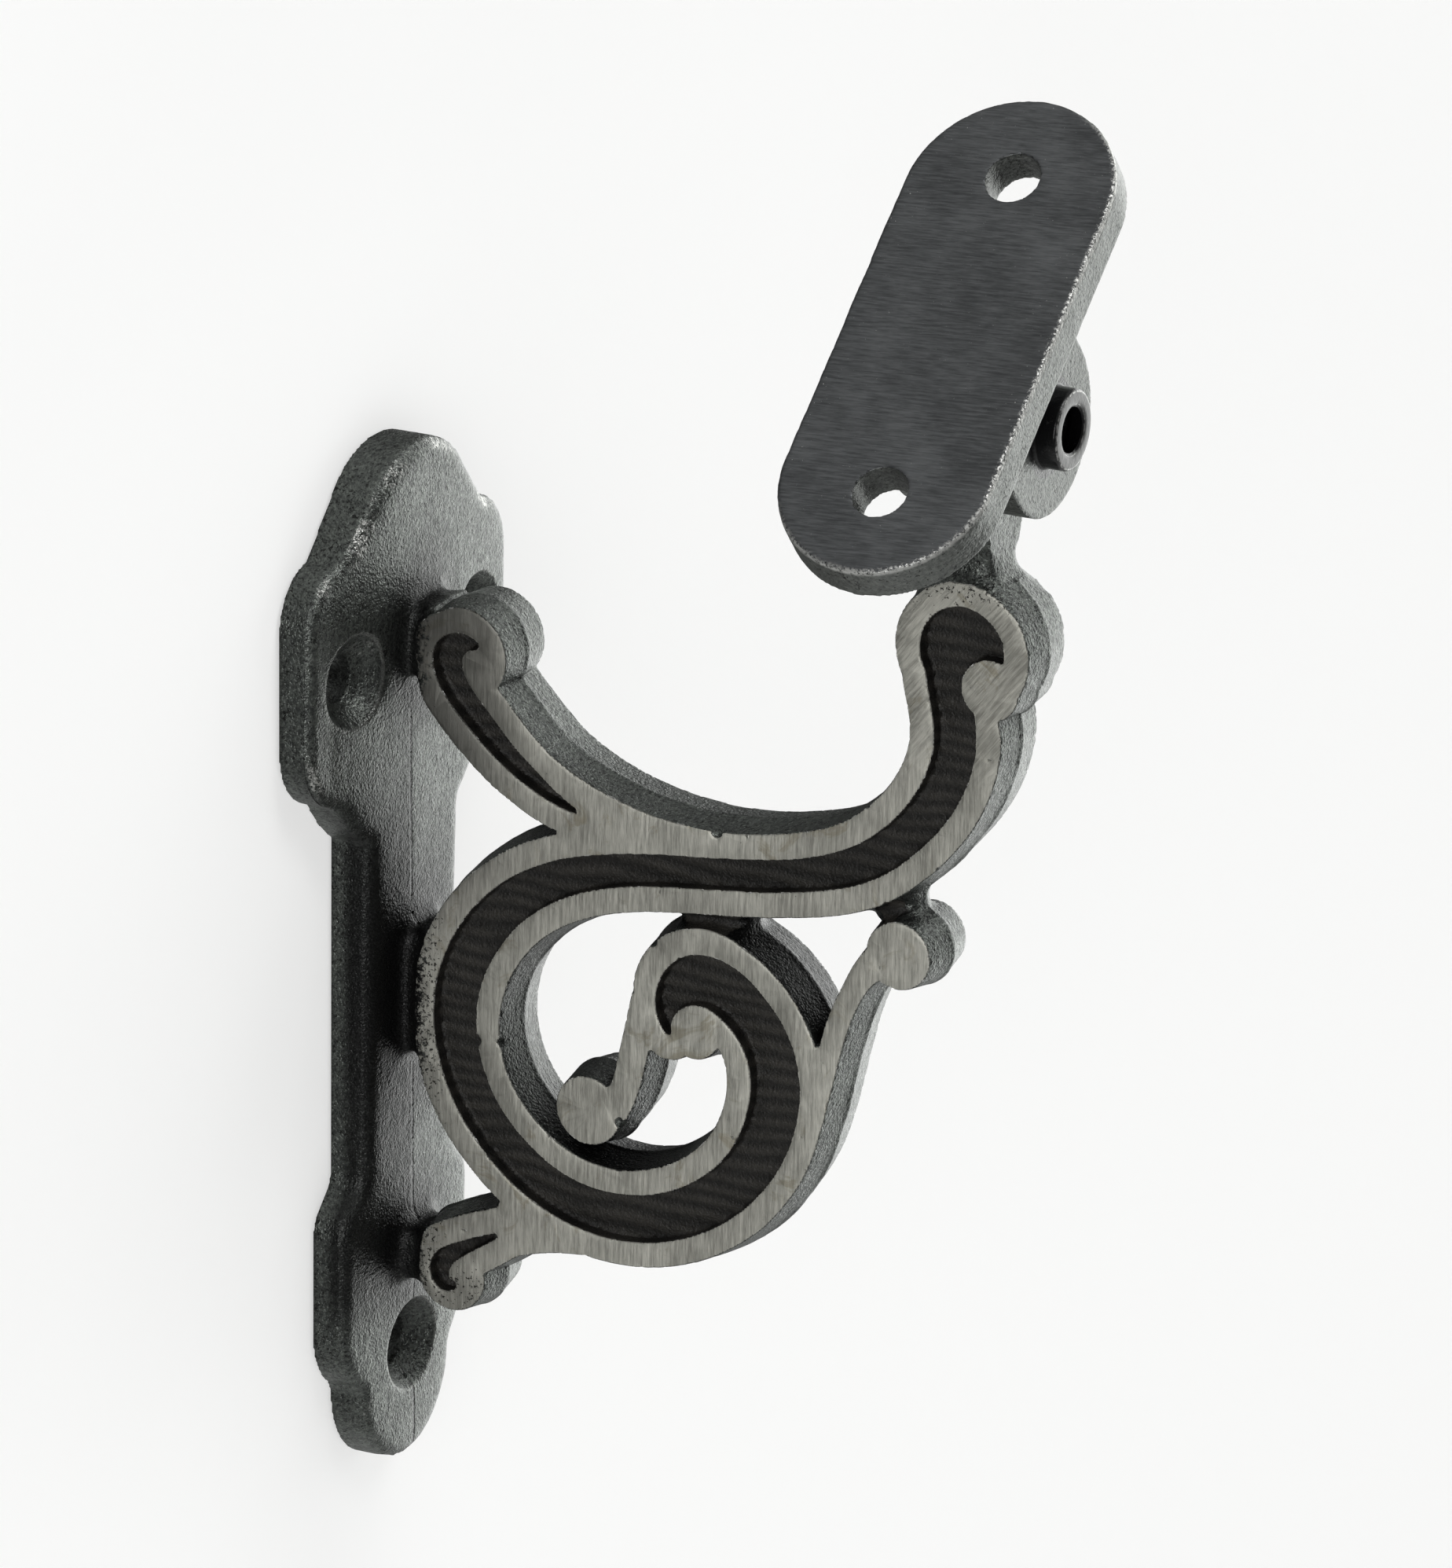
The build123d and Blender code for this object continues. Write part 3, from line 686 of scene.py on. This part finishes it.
@dataclass(frozen=True)
class RivetFinish:
    """Hollow rivet: glossy black, worn to bright metal on its end faces and rims."""

    pivot: Vector
    reach: float
    bore: float
    black: tuple[float, float, float] = (0.006, 0.006, 0.0065)
    bare: tuple[float, float, float] = (0.085, 0.085, 0.084)
    bright: tuple[float, float, float] = (0.55, 0.55, 0.53)
    head: float = 4.7

    def material(self) -> bpy.types.Material:
        """Build the material."""
        material, g, surface = new_finish("blacked_rivet")
        at = object_mm(g)
        off_y = g.math("SUBTRACT", at.y, self.pivot.y / MM)
        off_z = g.math("SUBTRACT", at.z, self.pivot.z / MM)
        radius = g.math("SQRT", g.math("ADD", g.math("POWER", off_y, 2.0), g.math("POWER", off_z, 2.0)))
        out = g.math("ABSOLUTE", g.math("SUBTRACT", at.x, self.pivot.x / MM))
        patchy = g.noise(at.vector, 0.9, 5.0, 0.7)
        end = g.span(g.math("MULTIPLY_ADD", patchy, 0.25, out), self.reach - 0.05, self.reach + 0.08)
        annulus = g.math("MULTIPLY", end, g.span(radius, self.bore + 0.05, self.bore + 0.35))
        flecks = g.span(patchy, 0.57, 0.66)
        worn = g.math("MAXIMUM", g.math("MULTIPLY", annulus, 0.85), g.math("MULTIPLY", flecks, 0.22))
        outer_rim = g.span(radius, self.head - 0.42, self.head - 0.26)
        inner_rim = g.math("MULTIPLY", g.span(radius, self.bore + 0.42, self.bore + 0.30), annulus)
        rubbed = g.math("MULTIPLY", g.math("MAXIMUM", g.math("MULTIPLY", outer_rim, end), inner_rim),
                        g.span(g.noise(at.vector, 1.6, 4.0, 0.7), 0.42, 0.60))
        base = g.mix(worn, self.black, self.bare)
        g.tree.links.new(g.mix(g.math("MULTIPLY", rubbed, 0.8), base, self.bright), surface.inputs["Base Color"])
        g.tree.links.new(g.blend(worn, 0.20, 0.36), surface.inputs["Roughness"])
        surface.inputs["Specular IOR Level"].default_value = 0.35
        g.tree.links.new(g.blend(worn, 0.15, 0.9), surface.inputs["Metallic"])
        turned = g.noise(g.stretch(at.vector, (0.4, 1.6, 1.6)), 1.0, 3.0, 0.6)
        g.tree.links.new(g.bump(turned, 0.00006), surface.inputs["Normal"])
        return material


# ---- pieces --------------------------------------------------------------------------------------


@dataclass
class Casting:
    """A cast piece: a copy of a CAD node, remeshed finely, with soft corners and sand grain."""

    node: str
    name: str
    body: str
    slot: str
    voxel: float
    limit: int
    piece: bpy.types.Object | None = field(default=None, init=False)

    def copy_of_node(self) -> bpy.types.Object:
        """Copy the CAD node's mesh into a new object and merge its loose triangles."""
        source = frame["nodes"][self.node]
        copy = bpy.data.objects.new(self.name, source.data.copy())
        bpy.context.scene.collection.objects.link(copy)
        copy.data.materials.clear()
        activate(copy)
        bpy.ops.object.mode_set(mode="EDIT")
        bpy.ops.mesh.select_all(action="SELECT")
        bpy.ops.mesh.remove_doubles(threshold=0.000001)
        bpy.ops.object.mode_set(mode="OBJECT")
        return copy

    def even_mesh(self) -> None:
        """Give the piece an even fine mesh that still follows the CAD surface."""
        pattern = self.piece.copy()
        pattern.data = self.piece.data.copy()
        bpy.context.scene.collection.objects.link(pattern)
        apply_modifier(self.piece, "REMESH", mode="VOXEL", voxel_size=self.voxel)
        apply_modifier(self.piece, "SHRINKWRAP", target=pattern, wrap_method="NEAREST_SURFACEPOINT")
        bpy.data.objects.remove(pattern, do_unlink=True)

    def thin_out(self) -> None:
        """Bring the mesh under its triangle limit, flat places first."""
        ratio = self.limit / triangle_count(self.piece)
        if ratio < 1.0:
            apply_modifier(self.piece, "DECIMATE", ratio=ratio)

    def place(self, material: bpy.types.Material) -> None:
        """Dress the piece and hang it on its body in place of its CAD node."""
        activate(self.piece)
        bpy.ops.object.shade_smooth_by_angle(angle=math.radians(38.0))
        self.piece.vertex_groups.clear()
        self.piece.data.materials.clear()
        self.piece.data.materials.append(material)
        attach(self.piece, self.body)
        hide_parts(self.node)
        log.info("%s: %d triangles on %s", self.name, triangle_count(self.piece), self.body)


@dataclass
class BracketCasting(Casting):
    """Wall plate, scroll arm and tongue in one casting.  Sizes are in millimetres."""

    half_arm: float = 4.75
    channel_depth: float = 2.0
    arm_start: float = 7.4
    tongue_foot: float = 59.2
    neck_start: float = 66.0
    parting_rise: float = 0.80
    upper_draft: float = 0.55
    seam_rise: float = 0.14
    ridge_pitch: float = 1.9
    ridge_height: float = 0.11
    dent_depth: float = 0.40
    crown_radius: float = 130.0
    crown_drop: float = 1.3
    far_share: float = 0.15
    screws: tuple[tuple[float, float], ...] = ((-14.0, 37.9), (14.0, 37.9), (0.0, -49.2))
    dish_reach: float = 5.8
    shoulder_width: float = 3.2
    shoulder_turns: int = 70
    dents: tuple[tuple[float, float, float], ...] = (
        (16.4, -7.1, 0.8), (47.7, 24.2, 0.9), (35.5, -13.8, 0.8), (19.6, -6.8, 0.5), (39.6, 9.3, 0.7))

    def region(self, at: np.ndarray) -> np.ndarray:
        """1 on the scroll arm, 0 on the plate and the tongue."""
        off_plate = ramp(at[:, 0], self.arm_start - 0.4, self.arm_start + 1.6)
        tongue = ramp(at[:, 2], self.tongue_foot - 0.6, self.tongue_foot) * (at[:, 0] > self.neck_start)
        return off_plate * (1.0 - tongue)

    def sunk_mask(self, at: np.ndarray, facing: np.ndarray) -> np.ndarray:
        """1 on the floors and walls of the sunk channels."""
        floor_level = self.half_arm - self.channel_depth
        across = np.abs(at[:, 1])
        on_floor = (np.abs(across - floor_level) < 0.35) & (np.abs(facing[:, 1]) > 0.85)
        on_floor &= (at[:, 0] > self.arm_start) & (facing[:, 1] * at[:, 1] > 0.0)
        floor = np.flatnonzero(on_floor)[::3]
        tree = KDTree(len(floor))
        for number, index in enumerate(floor):
            tree.insert(at[index], number)
        tree.balance()
        mask = on_floor.astype(float)
        maybe = (across > floor_level - 0.4) & (across < self.half_arm - 0.02) & ~on_floor
        maybe &= (at[:, 0] > self.arm_start) & (np.abs(facing[:, 1]) < 0.9)
        for index in np.flatnonzero(maybe):
            rise = across[index] - floor_level
            if tree.find(at[index])[2] < math.hypot(rise, 0.75):
                mask[index] = 1.0
        return mask

    def corner_mask(self, at: np.ndarray, facing: np.ndarray) -> np.ndarray:
        """How much each vertex takes part in the cast fillets at roots, webs and tongue."""
        across = np.abs(at[:, 1])
        x, z = at[:, 0], at[:, 2]
        weights = np.zeros(len(at))
        for low, high in ((35.4, 45.6), (-11.6, 5.6), (-40.4, -32.2)):
            near = band(z, low, high, 3.0) * band(x, 4.6, 8.2, 1.2) * ramp(across, 10.0, 6.5)
            weights = np.maximum(weights, near * (1.0 - (across > self.half_arm - 0.05) * ramp(x, 7.6, 8.6)))
        for low, high in (((42.0, 11.2), (50.6, 15.4)), ((66.6, 17.0), (72.0, 20.8))):
            near = band(x, low[0], high[0], 1.2) * band(z, low[1], high[1], 0.8)
            weights = np.maximum(weights, near * ramp(across, 3.9, 3.3))
        foot = band(x, 70.0, 84.0, 2.0) * band(z, 57.6, 61.2, 1.5) * ramp(across, self.half_arm, 4.3)
        return np.maximum(weights, foot)

    def dent_mask(self, at: np.ndarray) -> np.ndarray:
        """How much each vertex takes part in the small knocks along the near face's edges."""
        mask = np.zeros(len(at))
        for x, z, reach in self.dents:
            far = np.hypot(at[:, 0] - x, at[:, 2] - z)
            mask = np.maximum(mask, ramp(far, reach, reach * 0.4))
        return mask * ramp(at[:, 1], 0.9 - self.half_arm, 0.2 - self.half_arm)

    def shoulder_mask(self, at: np.ndarray, facing: np.ndarray) -> np.ndarray:
        """How much each vertex takes part in the soft shoulder round the plate's front."""
        side = (at[:, 0] > 4.0) & (at[:, 0] < 7.0) & (np.abs(facing[:, 0]) < 0.4) & (np.abs(at[:, 1]) > 7.5)
        side |= (at[:, 0] > 4.0) & (at[:, 0] < 7.0) & (np.abs(facing[:, 0]) < 0.4) & (np.abs(at[:, 2]) > 52.0)
        rim = np.flatnonzero(side)[::4]
        tree = KDTree(len(rim))
        for number, index in enumerate(rim):
            tree.insert(at[index], number)
        tree.balance()
        weights = np.zeros(len(at))
        for index in np.flatnonzero((at[:, 0] > 2.2) & (at[:, 0] < 7.4)):
            weights[index] = tree.find(at[index])[2]
        reach = ramp(weights, self.shoulder_width + 1.5, self.shoulder_width - 1.0)
        for y, z in self.screws:
            reach *= ramp(np.hypot(at[:, 1] - y, at[:, 2] - z), self.dish_reach, self.dish_reach + 0.8)
        return reach * band(at[:, 0], 3.4, 7.2, 1.2) * (weights > 0.0)

    def build(self) -> None:
        """Make the mesh."""
        self.piece = self.copy_of_node()
        self.even_mesh()
        at, facing = points_mm(self.piece), normals_of(self.piece)
        smooth_group(self.piece, self.corner_mask(at, facing), 140)
        at, facing = points_mm(self.piece), normals_of(self.piece)
        crown = np.minimum(at[:, 1] ** 2 / (2.0 * self.crown_radius), self.crown_drop)
        crown *= np.where(at[:, 1] > 0.0, self.far_share, 1.0)
        front = ramp(facing[:, 0], -0.2, 0.2) * ramp(at[:, 0], 2.5, 4.5) * ramp(at[:, 0], 8.2, 7.2)
        push(self.piece, Group.CROWN, crown * front / self.crown_drop, -self.crown_drop * MM, "X")
        at, facing = points_mm(self.piece), normals_of(self.piece)
        smooth_group(self.piece, self.shoulder_mask(at, facing), self.shoulder_turns)
        at, facing = points_mm(self.piece), normals_of(self.piece)
        sunk = self.sunk_mask(at, facing)
        across = np.abs(at[:, 1])
        arm = self.region(at)
        wall = ramp(np.abs(facing[:, 1]), 0.75, 0.45) * arm * (1.0 - sunk) * (across < self.half_arm - 0.02)
        draft = np.clip(1.0 - across / self.half_arm, 0.0, 1.0) * ramp(at[:, 2], 42.0, 14.0)
        draft = np.maximum(draft, np.clip(1.0 - across / self.half_arm, 0.0, 1.0) * self.upper_draft)
        push(self.piece, Group.PARTING, wall * draft, self.parting_rise * MM)
        seam = ramp(across, 0.42, 0.12) * wall * np.clip(0.55 + 0.6 * drift(at, 9.0, 11), 0.0, 1.0)
        push(self.piece, Group.SEAM, seam, self.seam_rise * MM)

        floor = sunk * ramp(np.abs(facing[:, 1]), 0.8, 0.95)
        phase = 2.0 * math.pi * at[:, 2] / self.ridge_pitch + 1.6 * drift(at, 14.0, 5)
        ridge = 0.5 + 0.5 * np.sin(phase)
        push(self.piece, Group.RIDGES, floor * ridge, self.ridge_height * MM)

        ground = arm * ramp(across, self.half_arm - 0.10, self.half_arm - 0.03) * ramp(np.abs(facing[:, 1]), 0.75, 0.95)
        skin = (1.0 - ground) * ramp(at[:, 0], 0.3, 1.0)
        grain(self.piece, skin, 0.0009, 0.00006)
        grain(self.piece, skin, 0.0060, 0.00014)
        corner = arm * band(across, self.half_arm - 0.30, self.half_arm + 0.1, 0.15)
        nick = corner * ramp(drift(at, 1.4, 21, 24), 1.5, 2.3)
        push(self.piece, Group.NICKS, nick, -0.12 * MM)
        dents = self.dent_mask(at)
        push(self.piece, Group.DENTS, dents, -self.dent_depth * MM)
        smooth_group(self.piece, (1.0 - corner) * ramp(at[:, 0], 0.0, 0.2), 1, 0.4)
        set_mask(self.piece, Mask.SUNK, sunk)
        set_mask(self.piece, Mask.RIDGE, ridge)
        set_mask(self.piece, Mask.DENT, dents)
        self.thin_out()


@dataclass
class SaddleCasting(Casting):
    """Rail saddle with its two ears.  It is worked level and tipped back to its rake."""

    pivot: Vector = field(default_factory=Vector)
    tilt: float = 0.0
    top: float = 16.8
    thickness: float = 4.9
    half_width: float = 12.7
    straight: float = 19.05
    ear_radius: float = 10.5

    def turn(self, backwards: bool) -> None:
        """Bring the mesh level about the pivot, or back to its rake."""
        swing = Matrix.Rotation(-self.tilt if not backwards else self.tilt, 4, "X")
        if backwards:
            self.piece.data.transform(Matrix.Translation(self.pivot) @ swing)
        else:
            self.piece.data.transform(swing @ Matrix.Translation(-self.pivot))

    def build(self) -> None:
        """Make the mesh."""
        self.piece = self.copy_of_node()
        self.turn(False)
        self.even_mesh()
        at = points_mm(self.piece)
        x, y, z = at[:, 0], at[:, 1], at[:, 2]
        underside = self.top - self.thickness
        feet = band(z, underside - 1.4, underside + 0.3, 1.0) * band(np.abs(y), 0.0, self.ear_radius + 1.2, 0.8)
        feet *= band(np.abs(x), 6.6, 9.2, 0.8)
        smooth_group(self.piece, feet, 30)
        at, facing = points_mm(self.piece), normals_of(self.piece)
        x, y, z = at[:, 0], at[:, 1], at[:, 2]
        beyond = np.maximum(np.abs(y) - self.straight, 0.0)
        inset = self.half_width - np.hypot(x, beyond)
        rim = ramp(inset, 0.9, 0.1) * ramp(z, self.top - 1.1, self.top - 0.2)
        push(self.piece, Group.NICKS, rim * (0.25 + 0.75 * np.clip(drift(at, 1.3, 31, 20), 0.0, 1.0)), -0.05 * MM)
        bore = ramp(np.hypot(y, z), 5.4, 4.8)
        skin = (1.0 - ramp(z, self.top - 0.3, self.top - 0.1)) * (1.0 - bore)
        inside = band(np.abs(x), 0.0, 3.6, 0.3) * ramp(z, underside - 0.6, underside - 1.4)
        skin *= 1.0 - inside
        grain(self.piece, skin, 0.0009, 0.00007)
        grain(self.piece, skin * ramp(z, underside - 1.0, underside + 1.0), 0.0050, 0.00018)
        smooth_group(self.piece, np.ones(len(at)), 1, 0.4)
        self.thin_out()
        self.turn(True)


@dataclass
class HollowRivet:
    """Hollow rivet with a spun head at each end, made from one cylinder."""

    pivot: Vector
    reach: float
    shank: float = 0.0039
    head: float = 0.0047
    bore: float = 0.00265
    head_height: float = 0.0029
    sides: int = 96
    piece: bpy.types.Object | None = field(default=None, init=False)

    def grow_head(self, side: float) -> None:
        """Extrude one head from the shank's end and sink the bore's mouth into it.

        Args:
            side: 1 for the end away from the wall, -1 for the other.
        """
        bpy.ops.mesh.select_all(action="DESELECT")
        bpy.ops.object.mode_set(mode="OBJECT")
        for polygon in self.piece.data.polygons:
            polygon.select = polygon.normal.x * side > 0.9
        bpy.ops.object.mode_set(mode="EDIT")
        end = (self.reach - self.head_height) * side
        bpy.ops.mesh.extrude_region_move()
        bpy.ops.transform.resize(value=(1.0, self.head / self.shank, self.head / self.shank),
                                 center_override=(end, 0.0, 0.0))
        bpy.ops.mesh.extrude_region_move(TRANSFORM_OT_translate={"value": (self.head_height * side, 0.0, 0.0)})
        bpy.ops.mesh.inset(thickness=self.head - self.bore - 0.00035, depth=0.0)
        bpy.ops.mesh.inset(thickness=0.00035, depth=-0.00030)
        bpy.ops.mesh.delete(type="ONLY_FACE")

    def build(self) -> None:
        """Make the mesh."""
        deselect_all()
        bpy.ops.mesh.primitive_cylinder_add(vertices=self.sides, radius=self.shank, end_fill_type="NGON",
                                            depth=2.0 * (self.reach - self.head_height),
                                            rotation=(0.0, math.radians(90.0), 0.0))
        self.piece = bpy.context.object
        self.piece.name = "hollow_rivet"
        bpy.ops.object.transform_apply(location=True, rotation=True, scale=True)
        bpy.ops.object.mode_set(mode="EDIT")
        for side in (1.0, -1.0):
            self.grow_head(side)
        bpy.ops.mesh.select_all(action="DESELECT")
        bpy.ops.mesh.select_mode(type="EDGE")
        bpy.ops.mesh.select_non_manifold(extend=False)
        bpy.ops.mesh.bridge_edge_loops(number_cuts=6)
        bpy.ops.mesh.select_all(action="SELECT")
        bpy.ops.mesh.normals_make_consistent(inside=False)
        bpy.ops.object.mode_set(mode="OBJECT")
        apply_modifier(self.piece, "BEVEL", width=0.00068, segments=5, limit_method="ANGLE",
                       angle_limit=math.radians(32.0))
        self.piece.data.transform(Matrix.Translation(self.pivot))

    def place(self, material: bpy.types.Material) -> None:
        """Dress the rivet and hang it on the saddle's body in place of its CAD node."""
        activate(self.piece)
        bpy.ops.object.shade_smooth_by_angle(angle=math.radians(30.0))
        self.piece.data.materials.clear()
        self.piece.data.materials.append(material)
        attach(self.piece, "saddle")
        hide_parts("pivot_rivet")
        log.info("hollow_rivet: %d triangles on saddle", triangle_count(self.piece))


# ---- studio --------------------------------------------------------------------------------------


@dataclass(frozen=True)
class Softbox:
    """One square area light."""

    name: str
    place: tuple[float, float, float]
    aim: tuple[float, float, float]
    size: float
    power: float


@dataclass
class Studio:
    """Camera, soft lights, pale wall and floor."""

    turn: float = 27.296
    rise: float = 19.056
    roll: float = 0.847
    lens: float = 231.9
    place: tuple[float, float, float] = (0.55004, -0.97599, 0.40780)
    world_dark: float = 0.05
    world_bright: float = 2.75
    ceiling: float = 0.62
    ground_glow: float = 0.55
    bright_side: tuple[float, float, float] = (0.25, 0.95, -0.10)
    wall_gap: float = 0.0004
    floor_level: float = -0.45
    boxes: tuple[Softbox, ...] = (
        Softbox("key", (1.40, 0.20, 1.90), (0.03, 0.0, 0.0), 0.90, 18.0),
        Softbox("fill", (0.55, -2.20, 0.35), (0.03, 0.0, 0.0), 1.20, 24.0),
    )

    def camera(self) -> None:
        """Stand the camera at the viewing angle."""
        turn, rise, roll = (math.radians(a) for a in (self.turn, self.rise, self.roll))
        across = Vector((math.cos(turn), math.sin(turn), 0.0))
        upward = Vector((-math.sin(turn) * math.sin(rise), math.cos(turn) * math.sin(rise), math.cos(rise)))
        back = Vector((math.sin(turn) * math.cos(rise), -math.cos(turn) * math.cos(rise), math.sin(rise)))
        right = math.cos(roll) * across + math.sin(roll) * upward
        top = -math.sin(roll) * across + math.cos(roll) * upward
        data = bpy.data.cameras.new("camera")
        data.lens, data.sensor_width, data.clip_end = self.lens, 36.0, 50.0
        camera = bpy.data.objects.new("camera", data)
        bpy.context.scene.collection.objects.link(camera)
        stand = Matrix((right, top, back)).transposed().to_4x4()
        stand.translation = self.place
        camera.matrix_world = stand
        bpy.context.scene.camera = camera

    def world(self) -> None:
        """Surround that is bright on the far side and dim behind the camera."""
        world = bpy.data.worlds.new("studio")
        bpy.context.scene.world = world
        world.use_nodes = True
        g = Graph(world.node_tree)
        heading = g.node("ShaderNodeTexCoord").outputs["Generated"]
        side = Vector(self.bright_side).normalized()
        towards = g.node("ShaderNodeVectorMath", {0: heading, 1: tuple(side)}, operation="DOT_PRODUCT").outputs["Value"]
        level = g.span(towards, 0.72, 0.96, self.world_dark, self.world_bright)
        ceiling = g.span(g.node("ShaderNodeSeparateXYZ", {0: heading}).outputs[2], 0.25, 1.0, 0.0, self.ceiling)
        below = g.span(g.node("ShaderNodeSeparateXYZ", {0: heading}).outputs[2], -0.35, -0.95, 0.0, self.ground_glow)
        level = g.math("ADD", g.math("ADD", level, ceiling), below)
        background = world.node_tree.nodes["Background"]
        background.inputs["Color"].default_value = (0.985, 1.0, 0.985, 1.0)
        world.node_tree.links.new(level, background.inputs["Strength"])

    def lights(self) -> None:
        """Add the softboxes."""
        for box in self.boxes:
            data = bpy.data.lights.new(box.name, "AREA")
            data.size, data.energy = box.size, box.power
            light = bpy.data.objects.new(box.name, data)
            bpy.context.scene.collection.objects.link(light)
            light.location = box.place
            light.rotation_euler = (Vector(box.aim) - Vector(box.place)).to_track_quat("-Z", "Y").to_euler()

    def backdrop(self) -> None:
        """Pale wall behind the plate, which is seen from its front only, and a pale floor."""
        material, g, surface = new_finish("pale_paint")
        surface.inputs["Base Color"].default_value = (0.46, 0.46, 0.458, 1.0)
        surface.inputs["Roughness"].default_value = 0.9
        surface.inputs["Emission Color"].default_value = (1.0, 1.0, 0.995, 1.0)
        surface.inputs["Emission Strength"].default_value = 0.53
        surface.inputs["Specular IOR Level"].default_value = 0.0
        clear = g.node("ShaderNodeBsdfTransparent").outputs[0]
        behind = g.node("ShaderNodeNewGeometry").outputs["Backfacing"]
        both = g.node("ShaderNodeMixShader", {0: behind, 1: surface.outputs[0], 2: clear})
        g.tree.links.new(both.outputs[0], g.tree.nodes["Material Output"].inputs["Surface"])
        deselect_all()
        bpy.ops.mesh.primitive_plane_add(size=6.0, location=(-self.wall_gap, 0.0, 3.0 + self.floor_level),
                                         rotation=(0.0, math.radians(90.0), 0.0))
        wall = bpy.context.object
        wall.name = "pale_wall"
        deselect_all()
        bpy.ops.mesh.primitive_plane_add(size=6.0, location=(0.0, 0.0, self.floor_level))
        floor = bpy.context.object
        floor.name = "pale_floor"
        for part in (wall, floor):
            part.data.materials.append(material)
            part.visible_glossy = False

    def set_up(self) -> None:
        """Build the whole studio."""
        self.camera()
        self.world()
        self.lights()
        self.backdrop()
        bpy.context.scene.view_settings.view_transform = "Standard"


def main() -> None:
    """Build every piece in order and report it."""
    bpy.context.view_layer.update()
    joint = frame["joints"][0]
    pivot = Vector(joint["pos_m"])
    tilt = math.radians(41.5)
    rivet_low, rivet_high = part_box("pivot_rivet")
    reach = (rivet_high.x - rivet_low.x) / 2.0

    Studio().set_up()
    bracket = BracketCasting("wall_bracket", "bracket_casting", "bracket", "cast_iron", 0.00032, 194000)
    bracket.build()
    bracket.place(BracketFinish(bracket.half_arm).material())
    saddle = SaddleCasting("rail_saddle", "saddle_casting", "saddle", "saddle_iron", 0.00026, 150000,
                           pivot=pivot, tilt=tilt)
    saddle.build()
    saddle.place(SaddleFinish(pivot, tilt, saddle.top, saddle.half_width, saddle.straight).material())
    rivet = HollowRivet(pivot, reach)
    rivet.build()
    rivet.place(RivetFinish(pivot, reach / MM, rivet.bore / MM).material())


if __name__ == "__main__":
    main()
